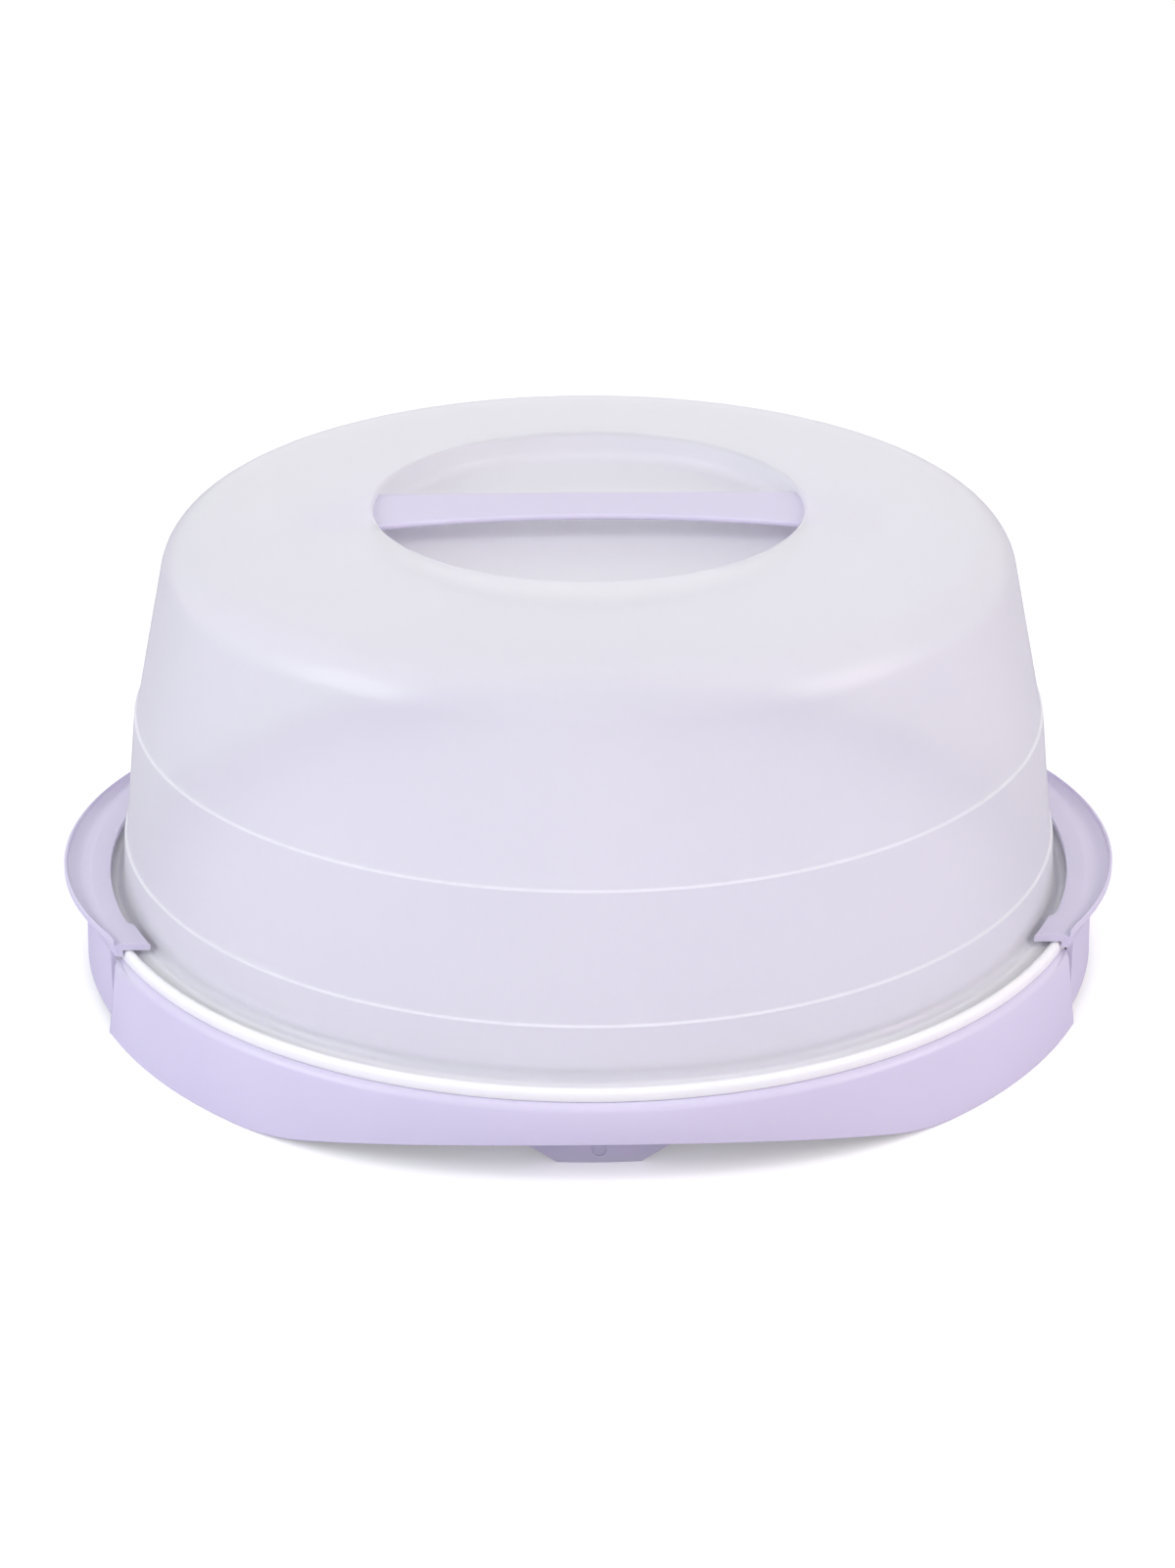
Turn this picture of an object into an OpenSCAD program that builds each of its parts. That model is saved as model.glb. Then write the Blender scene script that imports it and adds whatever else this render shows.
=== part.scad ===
// Round cake carrier: a tray, a frosted lid, a strap handle in the lid and two side latches.
// Millimetres, +Z up, -Y the front. The origin is on the table, under the middle of the tray.

/* [Tray] */
// Radius of the skirt just under its rounded top edge
tray_r = 166.5; // [160:0.5:180]
// How far the skirt flares out on its way down to the table
skirt_flare = 3; // [0:0.5:5]
// Height of the rim that the lid stands on
tray_h = 27; // [25:0.5:36]
// Wall thickness of the tray
tray_wall = 2.4; // [1.8:0.1:3]
// Rounding of the skirt's top edge
rim_round = 3; // [2:0.5:4]
// Depth of the cake platform below the rim
platform_drop = 3; // [1:0.5:5]
// Height of the ring that centres the lid, above the rim
locator_h = 5; // [3:0.5:8]
// Thickness of the centring ring
locator_t = 2.4; // [1.6:0.1:3]
// Gap between the centring ring and the inside of the lid
locator_gap = 1.6; // [0.5:0.1:2.5]
// Height of the lifting arch in the skirt, front and back
arch_h = 14.3; // [8:0.1:17]
// Width of the lifting arch at the table
arch_w = 200; // [160:2:210]
// Length over which each end of the arch eases into the skirt's edge
arch_ease = 10; // [4:1:16]

/* [Under the tray] */
// Depth of the stiffening ribs under the platform
rib_depth = 6; // [3:0.5:8]
// Thickness of the stiffening ribs
rib_t = 1.8; // [1.2:0.1:2.4]
// Number of straight ribs
rib_count = 16; // [8:2:24]
// Radius of the inner ring rib
hub_r = 34; // [20:1:50]
// Radius of the outer ring rib
mid_r = 96; // [70:1:120]
// Width of a foot where it meets the table
foot_w = 25.5; // [16:0.5:40]
// Width of a foot at its root under the platform
foot_root_w = 88; // [60:1:100]
// How far a foot's outer face stands outside the centring ring
foot_proud = 1.8; // [0.5:0.1:4]
// Depth of a foot, front to back
foot_depth = 15; // [8:1:24]
// Width of the shallow slot down the middle of a foot
foot_slot_w = 4.4; // [3:0.1:8]
// Depth of that slot
foot_slot_depth = 0.6; // [0.3:0.1:1]

/* [Lid] */
// Overall height of the lid above the tray's rim
lid_h = 128; // [100:1:160]
// Wall thickness of the lid
lid_wall = 1.8; // [1.4:0.1:2.4]
// How far the lid's flange stops short of the tray's edge
flange_inset = 1.9; // [1:0.1:3]
// Width of the flange, from the wall to its edge
flange_w = 10; // [9:0.5:12]
// Thickness of the flange
flange_t = 2.2; // [1.6:0.1:2.6]
// Width of the bead around the flange
bead_w = 3.2; // [2:0.1:4]
// Height of the bead
bead_h = 4; // [3.5:0.1:5]
// Height of the lower step line above the rim
step_low_h = 19.2; // [14:0.2:26]
// Height of the upper step line above the rim
step_high_h = 61; // [45:1:80]
// Depth of each step line
step_depth = 0.8; // [0.4:0.1:1.2]
// Height over which each step line slopes in
step_slope = 0.5; // [0.3:0.1:1]
// Draft of the wall below the lower step, in degrees
draft_low = 3.4; // [1:0.1:5]
// Draft of the wall between the steps, in degrees
draft_mid = 6.1; // [4:0.1:8]
// Draft of the wall above the upper step, in degrees
draft_high = 11.8; // [8:0.1:13]
// Slope of the top, in degrees
crown_slope = 5.3; // [2:0.1:7]
// Radius of the shoulder between top and wall
shoulder_r = 17; // [8:0.5:24]

/* [Handle recess] */
// Radius of the round recess in the top
recess_r = 69.5; // [60:0.5:80]
// Depth of the recess
recess_depth = 9; // [8:0.5:14]
// Draft of the recess wall, in degrees
recess_draft = 8; // [3:1:15]
// Rounding of the recess edge
recess_edge = 1.2; // [0.6:0.1:1.6]
// Fillet around the recess floor
recess_fillet = 4; // [2:0.5:5]

/* [Handle] */
// Thickness of the handle strap
strap_t = 2; // [1.6:0.1:2.4]
// Width of the strap at mid length
strap_mid_w = 21; // [18:0.5:26]
// Width of the strap where it enters the recess wall
strap_end_w = 30; // [27:0.5:36]
// How far the strap's middle lies below the top of the lid
strap_below = 0.3; // [0:0.1:1]
// How far the strap falls from its middle to the recess wall
strap_bow = 1.8; // [1.5:0.1:2.4]
// Slope of the strap's tongues under the skin, in degrees
tongue_slope = 6; // [5.5:0.1:7]
// Length of each tongue beyond the recess wall
tongue_len = 25; // [15:1:30]
// Width of the tongues
tongue_w = 26; // [20:0.5:27]
// Gap around the strap in its slots
slot_gap = 0.35; // [0.2:0.05:0.5]

/* [Latches] */
// Half the length of a latch's hook along the rim
latch_half = 71; // [60:1:74]
// Half the length of a latch's panel
panel_half = 66; // [50:1:68]
// Thickness of the panel
panel_t = 2.1; // [1.6:0.1:2.4]
// Height of the panel's lower edge above the table
panel_bottom = 4; // [3.5:0.1:6]
// Gap between the panel and the lid's flange
panel_gap = 0.5; // [0.3:0.1:0.8]
// How far the panel leans out at its lower edge
panel_lean = 0.8; // [0:0.1:1]
// Gap between the hook and the bead under it
hook_gap = 0.3; // [0.2:0.05:0.5]
// Thickness of the hook
hook_t = 2.1; // [1.6:0.1:2.6]
// How far the hook reaches in over the flange from its edge
hook_reach = 5.6; // [3:0.1:6]
// How far the hook's two tips reach in from the flange's edge
tip_reach = 7.4; // [6:0.1:7.5]
// Length of each tip along the latch
tip_len = 14; // [8:1:20]
// How far the finger lip stands out from the panel at mid length
lip_reach = 7.4; // [4:0.1:9]
// Width of the finger lip at the latch's ends
lip_end = 1.8; // [1:0.1:3]
// Rise of the lip's edge above the hook
lip_rise = 1.2; // [0.5:0.1:2]
// Dip in the middle of the lip
lip_dip = 0.9; // [0.2:0.1:1.2]
// Width of the bead along the lip's edge
lip_bead = 1.3; // [0.8:0.1:1.8]

/* [Hinges] */
// How far each hinge line lies inside the tray's edge
hinge_inset = 5.1; // [4.6:0.1:6]
// Height of the hinge lines above the table
hinge_z = 8; // [7.5:0.1:9]
// Radius of the hinge pins
pin_r = 1.55; // [1.2:0.05:1.8]
// Radial gap between pin and hole
pin_gap = 0.05; // [0.04:0.01:0.08]
// Radius of the latch's barrel
barrel_r = 3.2; // [2.8:0.1:3.4]
// Half the length of the barrel
barrel_half = 13; // [8:0.5:14]
// Radius of the tray's lugs
lug_r = 3; // [2.6:0.1:3.1]
// Thickness of the tray's lugs
lug_t = 3.6; // [2.5:0.1:4]
// Gap between barrel and lug
lug_gap = 0.3; // [0.2:0.05:0.5]
// Depth of the pocket behind each latch, from the tray's edge
pocket_depth = 11.5; // [10.5:0.5:13.5]
// Gap between the panel's ends and the pocket's cheeks
cheek_gap = 2.5; // [1:0.1:4]
// How far the rim stays back from the flange's edge over the pocket
rim_setback = 3.2; // [2:0.1:4]
// Arc of the raised stop beside each pocket, in degrees
stop_arc = 7; // [3:0.5:10]
// Width of the raised stop
stop_w = 2.4; // [2.2:0.1:3]
// How far the stop's outer face stays inside the tray's edge
stop_inset = 0.2; // [0.1:0.05:0.4]
// How far the stop's highest point stays below the top of the rim
stop_low = 0.2; // [0.1:0.1:1]

/* [Hidden] */

$fn = 96;
lilac = [0.84, 0.82, 0.92];
frost = [0.92, 0.93, 0.96, 0.6];
cut = 1;
sink = 0.5;
far = 2 * tray_r;

rim_under = tray_h - tray_wall;
platform_z = tray_h - platform_drop;
platform_under = platform_z - tray_wall;

flange_r = tray_r - flange_inset;
lid_foot_r = flange_r - flange_w;
flange_top = tray_h + flange_t;
bead_top = tray_h + bead_h;
lid_top = tray_h + lid_h;
foot_fillet = 3;

locator_out = lid_foot_r - lid_wall - locator_gap;
locator_in = locator_out - locator_t;
locator_top = tray_h + locator_h;
foot_reach = locator_out + foot_proud;
pocket_r = tray_r - pocket_depth;
hinge_x = tray_r - hinge_inset;

hook_under = bead_top + hook_gap;
hook_top = hook_under + hook_t;
panel_in_top = flange_r + panel_gap;
panel_out_top = panel_in_top + panel_t;
panel_out_bottom = panel_out_top + panel_lean;
panel_in_bottom = panel_out_bottom - panel_t;
lip_r = panel_out_top + lip_reach;
crease_r = panel_in_top;

pocket_half = panel_half + cheek_gap;
rim_lip_r = flange_r - rim_setback;

// Skirt radius at a height above the table
function skirt_r(z) = tray_r + skirt_flare * (tray_h - rim_round - z) / (tray_h - rim_round);

// Points along an arc, from one angle to another
function arc(centre, r, from, to, steps) = [
    for (i = [0:steps]) let (a = from + (to - from) * i / steps)
        centre + r * [cos(a), sin(a)]
];

// Section through the tray, from its middle out to the skirt and back underneath
function tray_section() = let (crest = locator_t / 2) concat(
    [[0, platform_z], [locator_in, platform_z]],
    arc([locator_in + crest, locator_top - crest], crest, 180, 0, 8),
    [[locator_out, tray_h]],
    arc([tray_r - rim_round, tray_h - rim_round], rim_round, 90, 0, 8),
    [[skirt_r(0), 0], [skirt_r(0) - tray_wall, 0], [tray_r - tray_wall, rim_under]],
    [[locator_out, rim_under], [locator_out, platform_under], [0, platform_under]]
);

// The lid's three wall stretches, as radius at the foot of each
wall_foot_z = flange_top + foot_fillet;
low_z = tray_h + step_low_h;
high_z = tray_h + step_high_h;
low_r = lid_foot_r - (low_z - wall_foot_z) * tan(draft_low);
mid_r0 = low_r - step_depth;
mid_r1 = mid_r0 - (high_z - low_z - step_slope) * tan(draft_mid);
high_r = mid_r1 - step_depth;
high_z0 = high_z + step_slope;

// Middle of the shoulder's arc, which touches both the wall and the top
shoulder_line_top = lid_top + recess_r * tan(crown_slope) - shoulder_r / cos(crown_slope);
shoulder_line_wall = high_r + high_z0 * tan(draft_high) - shoulder_r / cos(draft_high);
shoulder_z = (shoulder_line_top - shoulder_line_wall * tan(crown_slope))
    / (1 - tan(draft_high) * tan(crown_slope));
shoulder_x = shoulder_line_wall - shoulder_z * tan(draft_high);

// Height of the lid's top surface at a radius outside the recess
function crown_z(r) = lid_top - (r - recess_r) * tan(crown_slope);

// Wall and shoulder of the lid, set in from the outer surface by a wall thickness
function lid_wall_path(inset) = concat(
    [[low_r - inset, low_z], [mid_r0 - inset, low_z + step_slope]],
    [[mid_r1 - inset, high_z], [high_r - inset, high_z0]],
    arc([shoulder_x, shoulder_z], shoulder_r - inset, draft_high, 90 - crown_slope, 14)
);

floor_z = lid_top - recess_depth;
recess_foot_r = recess_r - recess_depth * tan(recess_draft);

// Recess wall and floor, set off below the visible surface by a wall thickness
function recess_path(inset) = concat(
    arc([recess_foot_r - recess_fillet, floor_z + recess_fillet], recess_fillet + inset,
        -recess_draft, -90, 8),
    [[0, floor_z - inset]]
);

function reversed(points) = [for (i = [len(points) - 1:-1:0]) points[i]];

// Section through the lid: flange, wall and top outside, then the same path inside
function lid_section() = let (bead_mid = flange_r - bead_w / 2) concat(
    [[lid_foot_r - lid_wall, tray_h], [flange_r, tray_h]],
    arc([bead_mid, bead_top - bead_w / 2], bead_w / 2, 0, 180, 10),
    [[flange_r - bead_w, flange_top]],
    arc([lid_foot_r + foot_fillet, wall_foot_z], foot_fillet, 270, 180, 8),
    lid_wall_path(0),
    arc([recess_r + recess_edge, crown_z(recess_r + recess_edge) - recess_edge], recess_edge,
        90, 180 - recess_draft, 6),
    recess_path(0),
    reversed(recess_path(lid_wall)),
    [[recess_r + lid_wall, crown_z(recess_r + lid_wall) - lid_wall / cos(crown_slope)]],
    reversed(lid_wall_path(lid_wall))
);

// Height of the strap's upper face at a distance from its middle
function strap_z(x) = abs(x) <= recess_r
    ? lid_top - strap_below - strap_bow * pow(x / recess_r, 2)
    : strap_z(recess_r) - (abs(x) - recess_r) * tan(tongue_slope);

// Half the width of the strap at a distance from its middle
function strap_half_w(x) = strap_mid_w / 2
    + (strap_end_w - strap_mid_w) / 2 * pow(min(abs(x) / recess_r, 1), 2);

tongue_end = recess_r + tongue_len;
shoulder_end = recess_r + lid_wall + 1;
tongue_corner = 4;
strap_steps = 12;
slot_top = strap_z(recess_r - strap_half_w(recess_r) / 6) + slot_gap;
slot_bottom = strap_z(recess_r + lid_wall) - strap_t - slot_gap;

// A slab across one side of the tray, as long as a latch's pocket and a margin
module pocket_slab(margin, z0, z1)
    translate([0, -pocket_half - margin, z0])
        cube([far, 2 * (pocket_half + margin), z1 - z0]);

// A ring between two radii and two heights
module band(inner, outer, z0, z1)
    translate([0, 0, z0])
        difference() {
            cylinder(r = outer, h = z1 - z0);
            translate([0, 0, -cut]) cylinder(r = inner, h = z1 - z0 + 2 * cut);
        }

module at_both_sides()
    for (side = [0, 1]) mirror([side, 0, 0]) children();

module at_front_and_back()
    for (side = [0, 1]) mirror([0, side, 0]) children();

// A cylinder lying along Y on the hinge line
module hinge_rod(r, y0, y1)
    translate([hinge_x, y1, hinge_z]) rotate([90, 0, 0]) cylinder(r = r, h = y1 - y0, $fn = 48);

// Block that fills the skirt behind a latch, before its pocket is cut
module pocket_block()
    intersection() {
        rotate_extrude()
            polygon([
                [pocket_r - tray_wall, 0], [skirt_r(0) - sink, 0],
                [tray_r - sink, rim_under], [pocket_r - tray_wall, rim_under]
            ]);
        pocket_slab(tray_wall, 0, tray_h);
    }

// Room for the latch: under the rim back to the pocket wall, and through the rim's edge
module pocket_cut() {
    difference() {
        pocket_slab(0, -cut, rim_under);
        translate([0, 0, -2 * cut]) cylinder(r = pocket_r, h = tray_h);
    }
    difference() {
        pocket_slab(0, -cut, far);
        translate([0, 0, -2 * cut]) cylinder(r = rim_lip_r, h = far + 4 * cut);
    }
}

// Lugs on the pocket wall that carry the latch's stub pins
module hinge_lugs()
    at_front_and_back() {
        y0 = barrel_half + lug_gap;
        hinge_rod(lug_r, y0, y0 + lug_t);
        translate([pocket_r - tray_wall, y0, hinge_z - lug_r])
            cube([hinge_x - pocket_r + tray_wall, lug_t, 2 * lug_r]);
    }

// Raised stop on the skirt's edge at each end of a pocket, sloping down away from it
module rim_stops() {
    start = asin(pocket_half / tray_r);
    end_y = tray_r * sin(start + stop_arc);
    at_front_and_back()
        intersection() {
            rotate([0, 0, start])
                rotate_extrude(angle = stop_arc)
                    translate([tray_r - stop_inset - stop_w, rim_under - rim_round])
                        square([stop_w, tray_wall + rim_round]);
            rotate([90, 0, 90])
                linear_extrude(far)
                    polygon([
                        [pocket_half - cut, 0], [end_y + cut, 0], [end_y + cut, tray_h - rim_round + sink],
                        [pocket_half, tray_h - stop_low], [pocket_half - cut, tray_h - stop_low]
                    ]);
        }
}

// Face of a foot: a wedge, narrow at the table
foot_top = platform_under + cut;
foot_lean = (foot_root_w - foot_w) / 2 / foot_top;
module foot_wedge(shrink) {
    side = foot_w / 2 - shrink * sqrt(1 + pow(foot_lean, 2));
    low = side + foot_lean * shrink;
    high = side + foot_lean * foot_top;
    polygon([[-low, shrink], [low, shrink], [high, foot_top], [-high, foot_top]]);
}

// Shallow slot with a round lower end in the outer face of a foot
module foot_slot() {
    low = foot_slot_w;
    rotate([90, 0, 0])
        linear_extrude(far) {
            translate([0, low]) circle(d = foot_slot_w, $fn = 48);
            translate([-foot_slot_w / 2, low]) square([foot_slot_w, platform_under - low]);
        }
}

// Foot that follows the tray's round, hollow towards the middle of the tray
module foot()
    difference() {
        intersection() {
            band(foot_reach - foot_depth, foot_reach, 0, foot_top);
            rotate([90, 0, 0])
                linear_extrude(far) foot_wedge(0);
        }
        intersection() {
            translate([0, 0, -cut]) cylinder(r = foot_reach - tray_wall, h = far);
            rotate([90, 0, 0])
                linear_extrude(far) foot_wedge(tray_wall);
        }
        difference() {
            foot_slot();
            translate([0, 0, -cut]) cylinder(r = foot_reach - foot_slot_depth, h = far);
        }
    }

module under_ribs() {
    z0 = platform_under - rib_depth;
    for (r = [hub_r, mid_r]) band(r - rib_t, r, z0, platform_under + cut);
    for (i = [0:rib_count - 1])
        rotate([0, 0, (i + 0.5) * 360 / rib_count])
            translate([hub_r - rib_t / 2, -rib_t / 2, z0])
                cube([locator_in - hub_r, rib_t, rib_depth + cut]);
}

// Height of the lifting arch at a distance from its middle, before and after its ends are eased
arch_join = arch_w / 2 - arch_ease;
function arch_bow(x) = arch_h * (1 - pow(2 * x / arch_w, 2));
arch_foot = arch_join + arch_bow(arch_join) / (4 * arch_h * arch_join / pow(arch_w, 2));
function arch_z(x) = abs(x) <= arch_join
    ? arch_bow(x)
    : arch_bow(arch_join) * pow((arch_foot - abs(x)) / (arch_foot - arch_join), 2);

// Shape across the tray whose top cuts the lifting arches in the skirt
module arch_cut() {
    steps = 28;
    difference() {
        rotate([90, 0, 0])
            linear_extrude(2 * far, center = true)
                polygon(concat(
                    [[-arch_foot, -cut]],
                    [for (i = [1 - steps:steps - 1]) let (x = arch_foot * i / steps) [x, arch_z(x)]],
                    [[arch_foot, -cut]]
                ));
        translate([0, 0, -far]) cylinder(r = tray_r - 2 * tray_wall, h = 2 * far);
    }
}

module tray()
    color(lilac)
        difference() {
            union() {
                difference() {
                    union() {
                        rotate_extrude() polygon(tray_section());
                        at_both_sides() pocket_block();
                        at_both_sides() rim_stops();
                    }
                    at_both_sides() pocket_cut();
                    arch_cut();
                }
                at_both_sides() hinge_lugs();
                at_front_and_back() foot();
                under_ribs();
            }
            at_both_sides() hinge_rod(pin_r + pin_gap, -far / 4, far / 4);
        }

module lid()
    color(frost)
        difference() {
            rotate_extrude() polygon(lid_section());
            at_both_sides()
                translate([recess_foot_r - recess_fillet, -strap_end_w / 2 - slot_gap, slot_bottom])
                    cube([recess_fillet + 3 * lid_wall, strap_end_w + 2 * slot_gap, slot_top - slot_bottom]);
        }

// Plan of one end of the strap, from its middle out to the tip of its tongue
function strap_end_plan() = concat(
    [for (i = [0:strap_steps]) let (x = recess_r * i / strap_steps) [x, strap_half_w(x)]],
    [[shoulder_end, strap_end_w / 2], [shoulder_end, tongue_w / 2]],
    arc([tongue_end - tongue_corner, tongue_w / 2 - tongue_corner], tongue_corner, 90, 0, 6)
);

module handle() {
    quarter = strap_end_plan();
    xs = [for (i = [-strap_steps:strap_steps]) recess_r * i / strap_steps];
    reach = tongue_end + cut;
    color(lilac)
        intersection() {
            rotate([90, 0, 0])
                linear_extrude(2 * strap_end_w, center = true)
                    polygon(concat(
                        [[-reach, strap_z(reach)]],
                        [for (x = xs) [x, strap_z(x)]],
                        [[reach, strap_z(reach)], [reach, strap_z(reach) - strap_t]],
                        [for (x = reversed(xs)) [x, strap_z(x) - strap_t]],
                        [[-reach, strap_z(reach) - strap_t]]
                    ));
            translate([0, 0, tray_h])
                linear_extrude(lid_h + cut)
                    polygon(concat(
                        quarter,
                        [for (q = reversed(quarter)) [q[0], -q[1]]],
                        [for (i = [1:len(quarter) - 1]) [-quarter[i][0], -quarter[i][1]]],
                        [for (i = [len(quarter) - 1:-1:1]) [-quarter[i][0], quarter[i][1]]]
                    ));
        }
}

// Middle and radius of the circle along the finger lip's edge
lip_end_x = sqrt(pow(crease_r, 2) - pow(latch_half, 2)) + lip_end;
lip_mid = (pow(lip_r, 2) - pow(lip_end_x, 2) - pow(latch_half, 2)) / (2 * (lip_r - lip_end_x));
lip_arc_r = lip_r - lip_mid;
lip_top = hook_top + lip_rise;
lip_bead_up = 0.2;
lip_root = 4.4;
latch_sweep = 40;

// Ribs on the back of a latch's panel
panel_rib_count = 3;
panel_rib_from = 8.5;
panel_rib_step = 5.3;
panel_rib_t = 1.6;
panel_rib_r = rim_lip_r + 0.8;
panel_rib_top = rim_under - 1.5;
pin_short = 0.3;

// Section through a latch: panel, hook over the flange and finger lip outside
function latch_section() = [
    [panel_in_bottom, panel_bottom],
    [panel_in_top, hook_under],
    [flange_r - tip_reach, hook_under],
    [flange_r - tip_reach, hook_top],
    [crease_r, hook_top],
    [(crease_r + lip_r) / 2, hook_top - lip_dip],
    [lip_r + cut, lip_top],
    [lip_r + cut, lip_top - hook_t],
    [panel_out_top + lip_reach / 2, hook_under - lip_root / 10],
    [panel_out_top + lip_root / 8, hook_under - lip_root / 2],
    [panel_out_top, hook_under - lip_root],
    [panel_out_bottom, panel_bottom]
];

// A slab across one side, as long as a latch or its panel
module latch_slab(half, z0, z1)
    translate([tray_r / 2, -half, z0]) cube([far, 2 * half, z1 - z0]);

// Bead along the lip's edge, all the way round its circle
module lip_edge_bead() {
    under = lip_top - hook_t + lip_bead_up;
    crown = lip_top + lip_bead_up - lip_bead / 4;
    difference() {
        translate([lip_mid, 0, 0])
            rotate_extrude()
                polygon(concat(
                    [[lip_arc_r - lip_bead, under], [lip_arc_r, under]],
                    arc([lip_arc_r - lip_bead / 2, crown], lip_bead / 2, 0, 180, 6)
                ));
        cylinder(r = crease_r + lip_bead / 3, h = far);
    }
}

// Between its two tips the hook reaches less far in
module hook_notch()
    intersection() {
        translate([0, 0, hook_under - cut]) cylinder(r = flange_r - hook_reach, h = hook_t + 2 * cut);
        latch_slab(latch_half - tip_len, 0, far);
    }

// Ribs that stiffen the back of the panel on both sides of the barrel
module panel_ribs()
    at_front_and_back()
        for (i = [0:panel_rib_count - 1])
            rotate([0, 0, panel_rib_from + i * panel_rib_step])
                translate([panel_rib_r, -panel_rib_t / 2, hinge_z])
                    cube([panel_in_top + panel_t / 3 - panel_rib_r, panel_rib_t, panel_rib_top - hinge_z]);

module latch() {
    panel_top = hook_under - lip_root / 2;
    web_half = barrel_r * 0.8;
    pin_end = barrel_half + lug_gap + lug_t - pin_short;
    difference() {
        intersection() {
            union() {
                intersection() {
                    rotate([0, 0, -latch_sweep]) rotate_extrude(angle = 2 * latch_sweep)
                        polygon(latch_section());
                    translate([lip_mid, 0, 0]) cylinder(r = lip_arc_r - lip_bead / 2, h = far, $fn = 180);
                }
                lip_edge_bead();
            }
            union() {
                latch_slab(panel_half, 0, panel_top + cut);
                latch_slab(latch_half, panel_top, far);
            }
        }
        hook_notch();
    }
    // Barrel, its web to the panel and the two stub pins
    hinge_rod(barrel_r, -barrel_half, barrel_half);
    translate([hinge_x, -barrel_half, hinge_z - web_half])
        cube([panel_in_bottom + panel_t / 3 - hinge_x, 2 * barrel_half, 2 * web_half]);
    hinge_rod(pin_r, -pin_end, pin_end);
    panel_ribs();
}

module latch_right()
    color(lilac) latch();

module latch_left()
    color(lilac) mirror([1, 0, 0]) latch();

tray();
lid();
handle();
latch_left();
latch_right();
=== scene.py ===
# %% [markdown]
# # A round cake carrier, piece by piece
# The carrier is a lilac tray, a frosted dome that stands on it, a strap handle that lies in a
# shallow well in the dome's top, and two side latches that hook over the dome's flange.
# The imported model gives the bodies, the joints and the real sizes. This lesson builds the
# pieces that are seen from close by, gives each its moulded plastic, and sets up a plain studio.

# %% Load the frame
import math
import bmesh
import bpy
from mathutils import Matrix, Vector


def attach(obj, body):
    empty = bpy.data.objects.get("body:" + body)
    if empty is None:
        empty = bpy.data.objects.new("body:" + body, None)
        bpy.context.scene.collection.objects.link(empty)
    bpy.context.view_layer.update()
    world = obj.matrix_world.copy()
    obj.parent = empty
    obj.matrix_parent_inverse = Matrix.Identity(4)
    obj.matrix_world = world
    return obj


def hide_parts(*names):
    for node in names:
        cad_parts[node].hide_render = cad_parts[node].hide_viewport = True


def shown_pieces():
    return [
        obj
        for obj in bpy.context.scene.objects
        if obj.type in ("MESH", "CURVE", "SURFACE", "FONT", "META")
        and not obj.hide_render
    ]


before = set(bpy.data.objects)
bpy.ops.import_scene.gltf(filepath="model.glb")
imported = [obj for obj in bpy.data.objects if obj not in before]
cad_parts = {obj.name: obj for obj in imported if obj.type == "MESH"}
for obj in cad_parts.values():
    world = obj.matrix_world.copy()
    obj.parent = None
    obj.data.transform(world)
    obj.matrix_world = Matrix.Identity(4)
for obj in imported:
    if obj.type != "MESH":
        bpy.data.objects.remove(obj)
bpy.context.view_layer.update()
MM = 0.001


def write_sizes():
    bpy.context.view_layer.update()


write_sizes()

# %% [markdown]
# ## Helpers for meshes
# Most of this object is moulded round one upright axis, so most pieces start as a flat section
# that is spun or pulled along. A section is written as a few corners, each with the radius of
# its rounding, because no edge of a moulded piece is sharp. Bevelling the corners of the flat
# section costs nothing and gives the thin bright lines that plastic edges show.

# %% A section with rounded corners
def tangent_length(points, i, radius):
    """How far along its two edges a rounding of that radius reaches from a corner."""
    before, here, after = (Vector(points[(i + k) % len(points)][:2]) for k in (-1, 0, 1))
    turn = (here - before).angle(after - here)
    return radius * math.tan(turn / 2)


def section_face(bm, points, y=0.0, segments=6):
    """A flat face in the plane of X and Z from corners (x, z, radius) in millimetres."""
    verts = [bm.verts.new((x * MM, y * MM, z * MM)) for x, z, radius in points]
    bm.faces.new(verts)
    for i, (x, z, radius) in enumerate(points):
        if radius:
            steps = segments if radius < 5 else 3 * segments
            bmesh.ops.bevel(bm, geom=[verts[i]], offset=tangent_length(points, i, radius) * MM,
                            offset_type="OFFSET", segments=steps, profile=0.5, material=-1,
                            affect="VERTICES")
    return bm.faces[:]


# %% From a bmesh to a piece of the object
def finish_piece(name, bm, body, node=None, smooth_angle=30):
    bmesh.ops.remove_doubles(bm, verts=bm.verts, dist=0.00002)
    bmesh.ops.recalc_face_normals(bm, faces=bm.faces)
    mesh = bpy.data.meshes.new(name)
    bm.to_mesh(mesh)
    bm.free()
    piece = bpy.data.objects.new(name, mesh)
    bpy.context.scene.collection.objects.link(piece)
    mesh.shade_smooth()
    mesh.set_sharp_from_angle(angle=math.radians(smooth_angle))
    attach(piece, body)
    if node:
        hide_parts(node)
    size = piece.dimensions / MM
    print(f"{name}: {len(mesh.polygons)} faces, {size.x:.1f} x {size.y:.1f} x {size.z:.1f} mm")
    return piece


def spin_section(bm, points, steps, segments=6):
    """Spins a closed section once round the upright axis. Corners on the axis close as poles."""
    section_face(bm, points, segments=segments)
    bmesh.ops.delete(bm, geom=bm.faces[:], context="FACES_ONLY")
    on_axis = [e for e in bm.edges if all(abs(v.co.x) < 1e-7 for v in e.verts)]
    bmesh.ops.delete(bm, geom=on_axis, context="EDGES")
    bmesh.ops.spin(bm, geom=bm.verts[:] + bm.edges[:], cent=(0, 0, 0), axis=(0, 0, 1),
                   angle=2 * math.pi, steps=steps, use_merge=True, use_duplicate=False)


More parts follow.
